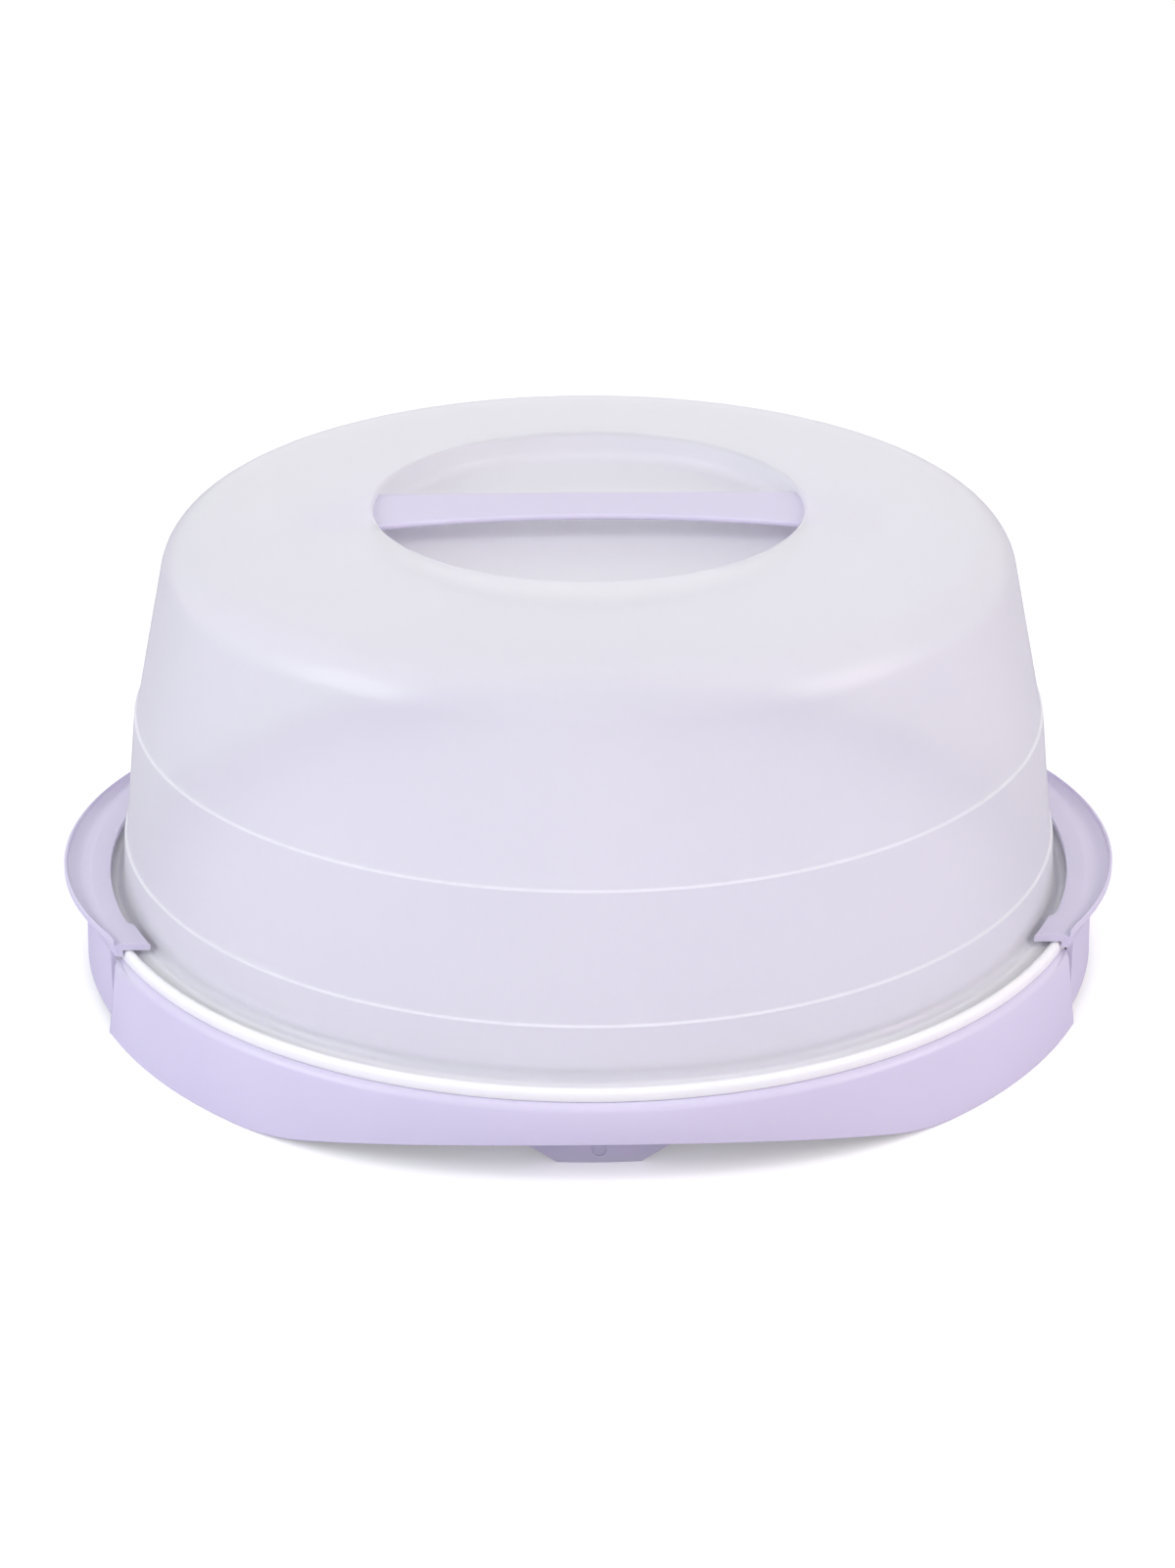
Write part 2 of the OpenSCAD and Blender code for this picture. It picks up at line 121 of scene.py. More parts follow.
# %% [markdown]
# ## The dome
# On the real carrier the lid is one thin shell of frosted polypropylene: a flange with a round
# bead stands on the tray, the wall leans in through two low steps, and a soft shoulder leads to
# a gently sloping top with a shallow round well for the handle. Every one of these is the same
# all the way round, so the lid is one closed section, outside and inside, spun in one go.

# %% Sizes of the dome, in millimetres
TRAY_TOP = 27.0
FLANGE_R = 164.6
FLANGE_TOP = 29.2
BEAD_TOP = 31.0
BEAD_W = 3.2
WALL = 1.8
FOOT_R = 154.6
STEP_LOW_Z = 46.2
STEP_HIGH_Z = 88.0
STEP_IN = 0.8
STEP_SLOPE = 0.5
DRAFTS = [math.tan(math.radians(a)) for a in (3.4, 6.1, 11.8)]
CROWN = math.tan(math.radians(5.3))
LID_TOP = 155.0
SHOULDER_R = 17.0
WELL_R = 69.5
WELL_FLOOR = 146.0
WELL_DRAFT = math.tan(math.radians(8))


# %% The dome's section, spun
def dome_section():
    low_r = FOOT_R - (STEP_LOW_Z - FLANGE_TOP - 3) * DRAFTS[0]
    mid_r = low_r - STEP_IN
    mid_top_r = mid_r - (STEP_HIGH_Z - STEP_LOW_Z - STEP_SLOPE) * DRAFTS[1]
    high_r = mid_top_r - STEP_IN
    high_z = STEP_HIGH_Z + STEP_SLOPE
    well_foot = WELL_R - (LID_TOP - WELL_FLOOR) * WELL_DRAFT

    def shoulder(inset):
        wall_r = high_r - inset * math.hypot(1, DRAFTS[2])
        top_z = LID_TOP - inset * math.hypot(1, CROWN)
        z = (top_z - (wall_r + high_z * DRAFTS[2] - WELL_R) * CROWN) / (1 - DRAFTS[2] * CROWN)
        return wall_r - (z - high_z) * DRAFTS[2], z

    outer, inner = shoulder(0), shoulder(WALL)
    return [
        (FOOT_R - WALL, TRAY_TOP, 0.4), (FLANGE_R, TRAY_TOP, 0.5),
        (FLANGE_R, BEAD_TOP, BEAD_W / 2 - 0.02), (FLANGE_R - BEAD_W, BEAD_TOP, BEAD_W / 2 - 0.02),
        (FLANGE_R - BEAD_W, FLANGE_TOP, 0.3), (FOOT_R + 3 * DRAFTS[0], FLANGE_TOP, 3),
        (low_r, STEP_LOW_Z, 0.3), (mid_r, STEP_LOW_Z + STEP_SLOPE, 0.3),
        (mid_top_r, STEP_HIGH_Z, 0.3), (high_r, high_z, 0.3),
        (*outer, SHOULDER_R), (WELL_R, LID_TOP, 1.2), (well_foot, WELL_FLOOR, 4),
        (0, WELL_FLOOR, 0), (0, WELL_FLOOR - WALL, 0),
        (well_foot + WALL * 0.8, WELL_FLOOR - WALL, 5.5),
        (WELL_R + WALL, LID_TOP - WALL - 0.2, 0.3), (*inner, SHOULDER_R - WALL),
        (high_r - WALL, high_z, 0.3), (mid_top_r - WALL, STEP_HIGH_Z, 0.3),
        (mid_r - WALL, STEP_LOW_Z + STEP_SLOPE, 0.3), (low_r - WALL, STEP_LOW_Z, 0.3),
    ]


bm = bmesh.new()
spin_section(bm, dome_section(), steps=288, segments=5)
finish_piece("frosted_dome", bm, "lid", node="lid", smooth_angle=40)

# %% [markdown]
# ## The strap handle
# The handle is a flat strip that is moulded straight and bows very slightly over the well. It is
# narrowest in the middle, widens towards the well's edge, and its two ends go on through slots
# under the skin of the dome, where they show through the frosted plastic. A fine grid is bent to
# that plan and curve, is given its thickness, and then has all its edges rounded.

# %% Sizes and shape of the strap
STRAP_T = 2.0
STRAP_MID_W, STRAP_END_W = 21.0, 30.0
STRAP_TOP = LID_TOP - 0.3
STRAP_BOW = 1.8
TONGUE_SLOPE = math.tan(math.radians(6))
TONGUE_W, TONGUE_LEN = 26.0, 25.0
TONGUE_FROM = WELL_R + WALL + 1


def strap_height(x):
    x = abs(x)
    if x <= WELL_R:
        return STRAP_TOP - STRAP_BOW * (x / WELL_R) ** 2
    return STRAP_TOP - STRAP_BOW - (x - WELL_R) * TONGUE_SLOPE


def strap_half_width(x):
    x = abs(x)
    if x > TONGUE_FROM:
        return TONGUE_W / 2
    return STRAP_MID_W / 2 + (STRAP_END_W - STRAP_MID_W) / 2 * min(x / WELL_R, 1) ** 2


# %% The strap's mesh
bm = bmesh.new()
reach = WELL_R + TONGUE_LEN
bmesh.ops.create_grid(bm, x_segments=96, y_segments=8, size=1)
for v in bm.verts:
    x = v.co.x * reach
    v.co = (x * MM, v.co.y * strap_half_width(x) * MM, (strap_height(x) - STRAP_T) * MM)
upper = bmesh.ops.extrude_face_region(bm, geom=bm.faces[:])
bmesh.ops.translate(bm, vec=(0, 0, STRAP_T * MM),
                    verts=[g for g in upper["geom"] if isinstance(g, bmesh.types.BMVert)])
bmesh.ops.recalc_face_normals(bm, faces=bm.faces)
rim = [e for e in bm.edges if len(e.link_faces) == 2 and e.calc_face_angle() > math.radians(60)]
bmesh.ops.bevel(bm, geom=rim, offset=0.8 * MM, offset_type="OFFSET", segments=4, profile=0.5,
                material=-1, affect="EDGES")
finish_piece("handle_strap", bm, "lid", node="handle")

# %% [markdown]
# ## The side latches
# Each latch is a curved panel on a hinge near the table. Its top turns in as a hook that grips
# the dome's flange, and out as a crescent lip for the fingers, widest in the middle. The real
# piece is cut square at both ends, so the section is pulled straight along the tray's side, and
# each of its points is then set on its own circle round the middle of the tray.

# %% Sizes of a latch
HOOK_HALF, PANEL_HALF = 71.0, 66.0
HOOK_UNDER, HOOK_TOP = 31.3, 33.4
HOOK_R, TIP_R, TIP_LEN = 159.0, 157.2, 14.0
PANEL_IN, PANEL_OUT = 165.1, 167.2
PANEL_LEAN, PANEL_BOTTOM = 0.8, 4.0
BITE = 0.7    # how far the ribs and the web reach into the panel that carries them
LIP_R, LIP_TOP, LIP_ROOT = 174.6, 34.6, 26.9
LIP_END = 1.8
end_x = math.sqrt(PANEL_IN ** 2 - HOOK_HALF ** 2) + LIP_END
LIP_MID = (LIP_R ** 2 - end_x ** 2 - HOOK_HALF ** 2) / (2 * (LIP_R - end_x))
LIP_ARC = LIP_R - LIP_MID


def lip_edge(y):
    """Distance from the upright axis to the lip's edge, at a distance along the latch."""
    return math.hypot(LIP_MID + math.sqrt(LIP_ARC ** 2 - y ** 2), y)


# %% Pulling a section along the side of the tray
def add_part(bm, part):
    """Puts a finished part into the mesh of its piece, as a closed shell of its own."""
    mesh = bpy.data.meshes.new("part")
    part.to_mesh(mesh)
    bm.from_mesh(mesh)
    part.free()
    bpy.data.meshes.remove(mesh)


def pull_section(bm, points, half, steps, segments=4):
    face = section_face(bm, points, y=-half, segments=segments)
    bmesh.ops.spin(bm, geom=face, cent=(0, 0, 0), axis=(0, 1, 0),
                   dvec=(0, 2 * half * MM / steps, 0), angle=0, steps=steps, use_duplicate=False)


def lip_scale(r, y):
    """Where a point of the section goes, as the lip narrows towards the latch's ends."""
    if r > PANEL_OUT + 0.3:
        share = (r - PANEL_OUT) / (LIP_R - PANEL_OUT)
        return PANEL_OUT + share * (max(lip_edge(y), PANEL_OUT + 0.4) - PANEL_OUT)
    if r < HOOK_R:
        from_end = HOOK_HALF - abs(y)
        blend = min(max((from_end - TIP_LEN) / 2, 0), 1)
        return r + (HOOK_R - TIP_R) * blend * min((PANEL_IN - r) / (PANEL_IN - TIP_R), 1)
    return r


def wrap_round(bm):
    for v in bm.verts:
        r, y = v.co.x / MM, v.co.y / MM
        v.co.x = math.sqrt(lip_scale(r, y) ** 2 - y ** 2) * MM


HOOK = [
    (PANEL_IN, HOOK_UNDER - 2.2, 0.2), (PANEL_IN, HOOK_UNDER, 0.3),
    (TIP_R, HOOK_UNDER, 0.4), (TIP_R, HOOK_TOP, 0.4), (PANEL_IN, HOOK_TOP, 3),
    ((PANEL_IN + LIP_R) / 2, HOOK_TOP - 0.9, 4), (LIP_R - 1.3, HOOK_TOP + 0.5, 0.5),
    (LIP_R - 1.1, LIP_TOP + 0.5, 0.45), (LIP_R, LIP_TOP + 0.4, 0.45), (LIP_R, LIP_TOP - 1.9, 0.4),
    (PANEL_OUT + 3.7, HOOK_UNDER - 0.4, 2), (PANEL_OUT + 0.5, HOOK_UNDER - 2.2, 0.3),
]
PANEL = [
    (PANEL_IN + PANEL_LEAN, PANEL_BOTTOM, 0.7), (PANEL_IN + 0.1, HOOK_UNDER - 0.3, 0),
    (PANEL_OUT - 0.1, HOOK_UNDER - 0.3, 0), (PANEL_OUT + 0.5, HOOK_UNDER - 2.2, 1.2),
    (PANEL_OUT, LIP_ROOT, 2), (PANEL_OUT + PANEL_LEAN, PANEL_BOTTOM, 0.7),
]


# %% [markdown]
# On its back the panel carries a barrel that turns between two lugs of the tray, a web that
# joins the barrel to the panel, and three short ribs on each side that keep the panel stiff.
# The ribs stand square to the tray's round edge, so each is a block turned about its middle.

# %% Barrel, pins, web and ribs of a latch
HINGE_X, HINGE_Z = 161.4, 8.0
BARREL_R, BARREL_HALF, PIN_R, PIN_HALF = 3.2, 13.0, 1.55, 16.6
WEB_HALF_T, RIB_FROM, RIB_TO_Z, RIB_HALF_T = 2.56, 162.2, 23.1, 0.8
RIB_TURNS = (8.5, 13.8, 19.1)


def rod(bm, radius, half, x, z, edge=0.3):
    """A closed rod along Y with slightly rounded ends."""
    made = bmesh.ops.create_cone(bm, cap_ends=True, segments=48, radius1=radius * MM,
                                 radius2=radius * MM, depth=2 * half * MM)
    verts = made["verts"]
    bmesh.ops.rotate(bm, cent=(0, 0, 0), matrix=Matrix.Rotation(math.pi / 2, 3, "X"), verts=verts)
    bmesh.ops.translate(bm, vec=(x * MM, 0, z * MM), verts=verts)
    ends = {e for v in verts for e in v.link_edges if len(e.link_faces) == 2 and
            e.calc_face_angle() > math.radians(60)}
    bmesh.ops.bevel(bm, geom=list(ends), offset=edge * MM, offset_type="OFFSET", segments=3,
                    profile=0.5, material=-1, affect="EDGES")


def block(bm, low, high, turn=0.0, edge=0.25):
    """A closed block between two corners, turned about the upright axis, with rounded edges."""
    made = bmesh.ops.create_cube(bm, size=1)
    verts = made["verts"]
    size = [(h - l) * MM for l, h in zip(low, high)]
    middle = [(h + l) / 2 * MM for l, h in zip(low, high)]
    bmesh.ops.scale(bm, vec=size, verts=verts)
    bmesh.ops.translate(bm, vec=middle, verts=verts)
    bmesh.ops.rotate(bm, cent=(0, 0, 0), verts=verts,
                     matrix=Matrix.Rotation(math.radians(turn), 3, "Z"))
    edges = {e for v in verts for e in v.link_edges}
    bmesh.ops.bevel(bm, geom=list(edges), offset=edge * MM, offset_type="OFFSET", segments=2,
                    profile=0.5, material=-1, affect="EDGES")


def latch_mesh():
    bm = bmesh.new()
    for section, half in ((HOOK, HOOK_HALF), (PANEL, PANEL_HALF)):
        part = bmesh.new()
        pull_section(part, section, half, steps=72)
        wrap_round(part)
        add_part(bm, part)
    rod(bm, BARREL_R, BARREL_HALF, HINGE_X, HINGE_Z)
    rod(bm, PIN_R, PIN_HALF, HINGE_X, HINGE_Z, edge=0.2)
    block(bm, (HINGE_X, -BARREL_HALF, HINGE_Z - WEB_HALF_T),
          (PANEL_IN + PANEL_LEAN + BITE, BARREL_HALF, HINGE_Z + WEB_HALF_T))
    for turn in RIB_TURNS:
        for way in (1, -1):
            block(bm, (RIB_FROM, -RIB_HALF_T, HINGE_Z), (PANEL_IN + BITE, RIB_HALF_T, RIB_TO_Z),
                  turn=turn * way)
    return bm


for side, name in ((1, "right"), (-1, "left")):
    bm = latch_mesh()
    if side < 0:
        bmesh.ops.scale(bm, vec=(-1, 1, 1), verts=bm.verts)
    latch = f"latch_{name}"    # the body and the node have the same name
    finish_piece(f"{latch}_clip", bm, latch, node=latch)

# %% [markdown]
# ## The tray
# The tray is one thin moulding too. A flat deck carries the cake, a low ring on it centres the
# dome, and a rim runs round outside the ring. All of that is round, so it is spun. In front and
# behind, the rim turns down into a flared skirt that is lifted in a long shallow arch. At the
# sides the skirt is missing, because the latches hang there in pockets of their own.

# %% The deck, its ring and the rim
RING_OUT, RING_IN, RING_TOP = 151.2, 148.8, 32.0
DECK_TOP, DECK_UNDER, RIM_UNDER = 24.0, 21.6, 24.6
RIM_EDGE = 161.4
POCKET_HALF, POCKET_R = 68.5, 155.0

DECK = [
    (0, DECK_TOP, 0), (RING_IN, DECK_TOP, 1), (RING_IN, RING_TOP, 1.15), (RING_OUT, RING_TOP, 1.15),
    (RING_OUT, TRAY_TOP - 0.03, 0.4), (RIM_EDGE, TRAY_TOP - 0.03, 0.6), (RIM_EDGE, RIM_UNDER, 0.3),
    (RING_OUT, RIM_UNDER, 0.3), (RING_OUT, DECK_UNDER, 0.5), (0, DECK_UNDER, 0),
]
tray = bmesh.new()
spin_section(tray, DECK, steps=216, segments=4)
print("deck and rim:", len(tray.faces), "faces")

# %% [markdown]
# The skirt's section is pulled straight as well, this time over a length of two units, and each
# point is then set at its place between the two pockets. The lower edge is lifted along a flat
# parabola whose ends ease into the table, and the skirt's flare is kept at every height.

# %% The skirt in front and behind
TRAY_R, FLARE, SKIRT_T = 166.5, 3.0, 2.4
ARCH_H, ARCH_W, ARCH_EASE = 14.3, 200.0, 10.0
ARCH_JOIN = ARCH_W / 2 - ARCH_EASE


def bow(x):
    return ARCH_H * (1 - (2 * x / ARCH_W) ** 2)


ARCH_FOOT = ARCH_JOIN + bow(ARCH_JOIN) / (4 * ARCH_H * ARCH_JOIN / ARCH_W ** 2)


def arch(x):
    """Height of the skirt's lower edge above the table, at a distance from the middle."""
    x = abs(x)
    if x <= ARCH_JOIN:
        return bow(x)
    return bow(ARCH_JOIN) * (max(ARCH_FOOT - x, 0) / (ARCH_FOOT - ARCH_JOIN)) ** 2


SKIRT = [
    (157, RIM_UNDER + 0.1, 0), (157, TRAY_TOP, 0), (TRAY_R, TRAY_TOP, 3), (TRAY_R + FLARE, 0, 0.7),
    (TRAY_R + FLARE - SKIRT_T, 0, 0.7), (TRAY_R - SKIRT_T, RIM_UNDER + 0.1, 1),
]


def skirt_part(way):
    part = bmesh.new()
    pull_section(part, SKIRT, half=1, steps=180, segments=5)
    ends = [e for e in part.edges if e.calc_face_angle() > math.radians(45)
            and all(abs(abs(v.co.y) - MM) < 1e-7 for v in e.verts)]
    for v in part.verts:
        r, share, z = v.co / MM
        turn = share * math.acos(POCKET_HALF / r)
        lift = max(RIM_UNDER - z, 0) / RIM_UNDER * arch(r * math.sin(turn))
        r -= FLARE * lift / (TRAY_TOP - 3)
        v.co = Vector((r * math.sin(turn), -way * r * math.cos(turn), z + lift)) * MM
    bmesh.ops.bevel(part, geom=ends, offset=0.18 * MM, offset_type="OFFSET", segments=2,
                    profile=0.5, material=-1, affect="EDGES")
    for v in part.verts:
        v.co.z = max(v.co.z, 0)    # the rounding of a slanted end may dip under the table
    return part


for way in (1, -1):
    add_part(tray, skirt_part(way))
print("with the skirt:", len(tray.faces), "faces")

# %% [markdown]
# Each pocket has a curved back wall and two cheeks that close the skirt's ends. Two lugs on the
# back wall hold the latch's pins, and a raised stop at each end of the pocket slopes down away
# from it. One pocket is made with all its parts, and mirrored for the other side.

# %% A lug that holds one of the latch's pins
LUG_T, LUG_HALF_H, LUG_FRONT, LUG_BACK = 3.6, 3.0, -16.9, 13.3
LUG_SUNK, LUG_SHORT = 1.5, 1.9
EYE_R, EYE_T = 2.3, 1.4


def lug(bm, y):
    """An arm on the pocket's back wall, with a ring at its end that the pin turns in."""
    block(bm, (POCKET_R - LUG_SUNK, y, HINGE_Z - LUG_HALF_H),
          (HINGE_X - LUG_SHORT, y + LUG_T, HINGE_Z + LUG_HALF_H))
    ring = bmesh.new()
    made = bmesh.ops.create_grid(ring, x_segments=1, y_segments=1, size=0.5)["verts"]
    bmesh.ops.scale(ring, vec=(EYE_T * MM, LUG_T * MM, 1), verts=made)
    bmesh.ops.translate(ring, verts=made,
                        vec=((HINGE_X + EYE_R) * MM, (y + LUG_T / 2) * MM, HINGE_Z * MM))
    bmesh.ops.delete(ring, geom=ring.faces[:], context="FACES_ONLY")
    bmesh.ops.spin(ring, geom=ring.verts[:] + ring.edges[:], axis=(0, 1, 0),
                   cent=(HINGE_X * MM, 0, HINGE_Z * MM), angle=2 * math.pi, steps=40,
                   use_merge=True, use_duplicate=False)
    add_part(bm, ring)


# %% Back wall, cheeks and stops of a pocket
POCKET_WALL = 2.4
WALL_TOP = RIM_UNDER + 0.2
CHEEK_IN, CHEEK_OUT, CHEEK_OUT_TOP = 136.8, 152.6, 149.8
CHEEK_HALF_T, CHEEK_OFF = 1.15, 1.25
STOP_IN, STOP_OUT, STOP_TOP, STOP_ARC, STOP_FALL = 163.9, 166.3, 26.8, 7, 2.3
STOP_UNDER_IN, STOP_UNDER_OUT = 24.6, 24.2


def back_wall():
    wall = bmesh.new()
    section = [(POCKET_R - POCKET_WALL, 0, 0.5), (POCKET_R, 0, 0.5), (POCKET_R, WALL_TOP, 0),
               (POCKET_R - POCKET_WALL, WALL_TOP, 0)]
    pull_section(wall, section, half=POCKET_HALF + POCKET_WALL, steps=60)
    for v in wall.verts:    # each point goes to its own circle round the middle of the tray
        v.co.x = math.sqrt(v.co.x ** 2 - v.co.y ** 2)
    return wall


def cheek(way):
    plate = bmesh.new()
    section = [(CHEEK_IN, 0, 0.4), (CHEEK_OUT, 0, 0.4), (CHEEK_OUT_TOP, WALL_TOP, 0),
               (CHEEK_IN, WALL_TOP, 0)]
    pull_section(plate, section, half=CHEEK_HALF_T, steps=1)
    bmesh.ops.translate(plate, vec=(0, way * (POCKET_HALF + CHEEK_OFF) * MM, 0), verts=plate.verts)
    return plate


def raised_stop(way):
    stop = bmesh.new()
    section = [(STOP_IN, STOP_UNDER_IN, 0), (STOP_IN, STOP_TOP, 0), (STOP_OUT, STOP_TOP, 0),
               (STOP_OUT, STOP_UNDER_OUT, 0)]
    pull_section(stop, section, half=1, steps=12)
    start = math.asin(POCKET_HALF / TRAY_R)
    for v in stop.verts:
        r, share, z = v.co / MM
        along = (1 + share) / 2
        turn = start + along * math.radians(STOP_ARC)
        z = min(z, STOP_TOP - STOP_FALL * along)
        v.co = Vector((r * math.cos(turn), way * r * math.sin(turn), z)) * MM
    return stop


def pocket_side():
    """Everything at the right-hand pocket, which the left one mirrors."""
    bm = bmesh.new()
    add_part(bm, back_wall())
    for way in (1, -1):
        add_part(bm, cheek(way))
        add_part(bm, raised_stop(way))
        lug(bm, LUG_BACK if way > 0 else LUG_FRONT)
    return bm


for side in (1, -1):
    part = pocket_side()
    bmesh.ops.scale(part, vec=(side, 1, 1), verts=part.verts)
    add_part(tray, part)
print("with the pockets:", len(tray.faces), "faces")

# %% [markdown]
# Under the deck there are two ring ribs, sixteen straight ribs, and a foot in front and behind.
# A foot is a wedge, narrow at the table. It starts as a block, its inner side is hollowed by an
# inset and an extrusion, a round-ended slot is sunk in its outer face, and it is then curved.

# %% Ribs under the deck
RIB_LOW, RIB_T = 15.6, 1.8
for r in (34.0, 96.0):
    ring = bmesh.new()
    spin_section(ring, [(r - RIB_T, RIB_LOW, 0.3), (r, RIB_LOW, 0.3), (r, DECK_UNDER + 0.4, 0),
                        (r - RIB_T, DECK_UNDER + 0.4, 0)], steps=96, segments=2)
    add_part(tray, ring)
for i in range(16):
    block(tray, (33.5, -RIB_T / 2, RIB_LOW), (RING_IN + 0.6, RIB_T / 2, DECK_UNDER + 0.4),
          turn=(i + 0.5) * 22.5)

# %% The two feet
FOOT_OUT, FOOT_DEPTH, FOOT_W, FOOT_ROOT_W, FOOT_TOP = 153.0, 15.0, 25.5, 100.0, 22.6
SLOT_W, SLOT_DEPTH = 4.4, 0.6
CURVE_STEP, CURVE_SHIFT = 4, 0.37    # cuts that let the flat block bend, clear of the slot's edges


def on_outer_face(face):
    return abs(face.calc_center_median().y + FOOT_OUT * MM) < 1e-5


def new_verts(made):
    return [g for g in made["geom"] if isinstance(g, bmesh.types.BMVert)]


def foot_block():
    """A wedge, narrow at the table, with its inner side hollowed."""
    bm = bmesh.new()
    for v in bmesh.ops.create_cube(bm, size=1)["verts"]:
        up = v.co.z + 0.5
        width = FOOT_W + (FOOT_ROOT_W - FOOT_W) * up
        y = -FOOT_OUT + (v.co.y + 0.5) * FOOT_DEPTH
        v.co = Vector((v.co.x * width, y, up * FOOT_TOP)) * MM
    inner = min(bm.faces, key=lambda f: -f.calc_center_median().y)
    bmesh.ops.inset_region(bm, faces=[inner], thickness=SKIRT_T * MM, use_even_offset=True)
    hollow = bmesh.ops.extrude_face_region(bm, geom=[inner])
    bmesh.ops.delete(bm, geom=[inner], context="FACES_ONLY")
    bmesh.ops.translate(bm, vec=(0, -(FOOT_DEPTH - SKIRT_T) * MM, 0), verts=new_verts(hollow))
    return bm


def sink_slot(bm):
    """A slot down the outer face, whose lower end is rounded."""
    for place, normal in (((-SLOT_W / 2, 0, 0), (1, 0, 0)), ((SLOT_W / 2, 0, 0), (1, 0, 0)),
                          ((0, 0, SLOT_W / 2), (0, 0, 1))):
        geom = {g for f in bm.faces if on_outer_face(f) for g in [f, *f.edges, *f.verts]}
        bmesh.ops.bisect_plane(bm, geom=list(geom), plane_co=Vector(place) * MM, plane_no=normal)
    slot = [f for f in bm.faces if on_outer_face(f) and abs(f.calc_center_median().x) < MM
            and f.calc_center_median().z > SLOT_W * MM]
    sunk = bmesh.ops.extrude_face_region(bm, geom=slot)
    bmesh.ops.delete(bm, geom=slot, context="FACES_ONLY")
    bmesh.ops.translate(bm, vec=(0, SLOT_DEPTH * MM, 0), verts=new_verts(sunk))
    low_corners = [e for e in bm.edges if e.calc_length() < 1.01 * SLOT_DEPTH * MM
                   and abs((e.verts[0].co - e.verts[1].co).y) > 0.9 * SLOT_DEPTH * MM
                   and e.verts[0].co.z < 3 * MM]
    bmesh.ops.bevel(bm, geom=low_corners, offset=SLOT_W / 2 * 0.98 * MM, offset_type="OFFSET",
                    segments=6, profile=0.5, material=-1, affect="EDGES")


def curve_foot(bm):
    """Bends the flat foot round the middle of the tray."""
    for i in range(-10, 11):
        bmesh.ops.bisect_plane(bm, geom=bm.verts[:] + bm.edges[:] + bm.faces[:],
                               plane_co=((CURVE_STEP * i + CURVE_SHIFT) * MM, 0, 0),
                               plane_no=(1, 0, 0))
    for v in bm.verts:
        v.co.y = -math.sqrt(v.co.y ** 2 - v.co.x ** 2)


for way in (1, -1):
    part = foot_block()
    sink_slot(part)
    curve_foot(part)
    print("foot:", len(part.faces), "faces")
    bmesh.ops.scale(part, vec=(1, way, 1), verts=part.verts)
    add_part(tray, part)
finish_piece("tray_shell", tray, "tray", node="tray")

# %% [markdown]
# ## Plastics
# Both plastics are injection-moulded polypropylene. The tray, the latches and the strap carry a
# lilac pigment and come out satin, with a soft wide highlight. The dome has only a little milk in
# it and a fine frosted skin, so light goes through it and scatters, and what touches it shows.

# %% Colours and small helpers for nodes
def linear(hex_colour):
    """An sRGB hex colour as the linear RGBA that shaders expect."""
    values = [int(hex_colour[i:i + 2], 16) / 255 for i in (1, 3, 5)]
    return [v / 12.92 if v <= 0.04045 else ((v + 0.055) / 1.055) ** 2.4 for v in values] + [1]


def socket(sockets, key):
    """The enabled socket with that name or number, as a node of several types keeps spare ones."""
    if isinstance(key, int):
        return sockets[key]
    return next(s for s in sockets if s.name == key and s.enabled)


def add_node(tree, kind, links=(), number=None, **settings):
    """Adds a node, sets its properties and named inputs, and links (from_node, output, input)."""
    node = tree.nodes.new(kind)
    for key, value in settings.items():
        if hasattr(node, key):
            setattr(node, key, value)
    for key, value in settings.items():
        if not hasattr(node, key):
            socket(node.inputs, key.replace("_", " ")).default_value = value
    for key, value in (number or {}).items():
        node.inputs[key].default_value = value
    for source, output, target in links:
        tree.links.new(socket(source.outputs, output), socket(node.inputs, target))
    return node


def new_material(name):
    material = bpy.data.materials.new(name)
    material.use_nodes = True
    return material, material.node_tree, material.node_tree.nodes["Principled BSDF"]


def set_inputs(shader, **values):
    """Sets constants on a shader's own sockets, where an exporter can read them."""
    for key, value in values.items():
        shader.inputs[key.replace("_", " ")].default_value = value


# %% [markdown]
# ### Lilac polypropylene
# The mould's cavity is spark-eroded, which leaves a fine grain and a satin surface. Pigment and
# flow leave a very faint mottling. To the eye that is a broad soft sheen on a slightly cloudy
# pastel. Two noise textures give both: a wide one, a few centimetres across, moves the colour
# and the roughness, and a fine one gives the bump. The real grain is about a tenth of a
# millimetre, too fine to show, so it is drawn 1.6 mm wide and very shallow.

# %% Lilac polypropylene
DRIFT_MM = 35


def moulded_grain(tree, shader, rough_low, rough_high, grain_mm, depth_mm, strength):
    """Roughness that drifts over a few centimetres, and a fine grain in the bump."""
    where = add_node(tree, "ShaderNodeTexCoord")
    drift = add_node(tree, "ShaderNodeTexNoise", [(where, "Object", "Vector")],
                     Scale=1 / (DRIFT_MM * MM), Detail=2)
    spread = add_node(tree, "ShaderNodeMapRange", [(drift, "Fac", "Value")],
                      From_Min=0.3, From_Max=0.7, To_Min=rough_low, To_Max=rough_high)
    grain = add_node(tree, "ShaderNodeTexNoise", [(where, "Object", "Vector")],
                     Scale=1 / (grain_mm * MM), Detail=3)
    bump = add_node(tree, "ShaderNodeBump", [(grain, "Fac", "Height")],
                    Distance=depth_mm * MM, Strength=strength)
    tree.links.new(spread.outputs["Result"], shader.inputs["Roughness"])
    tree.links.new(bump.outputs["Normal"], shader.inputs["Normal"])
    return drift


def drifting_colour(tree, shader, drift, colours):
    """A colour that drifts a little between two, as pigment does in a moulding."""
    tint = add_node(tree, "ShaderNodeMix", [(drift, "Fac", "Factor")], data_type="RGBA")
    for key, colour in zip("AB", colours):
        socket(tint.inputs, key).default_value = linear(colour)
    tree.links.new(socket(tint.outputs, "Result"), shader.inputs["Base Color"])


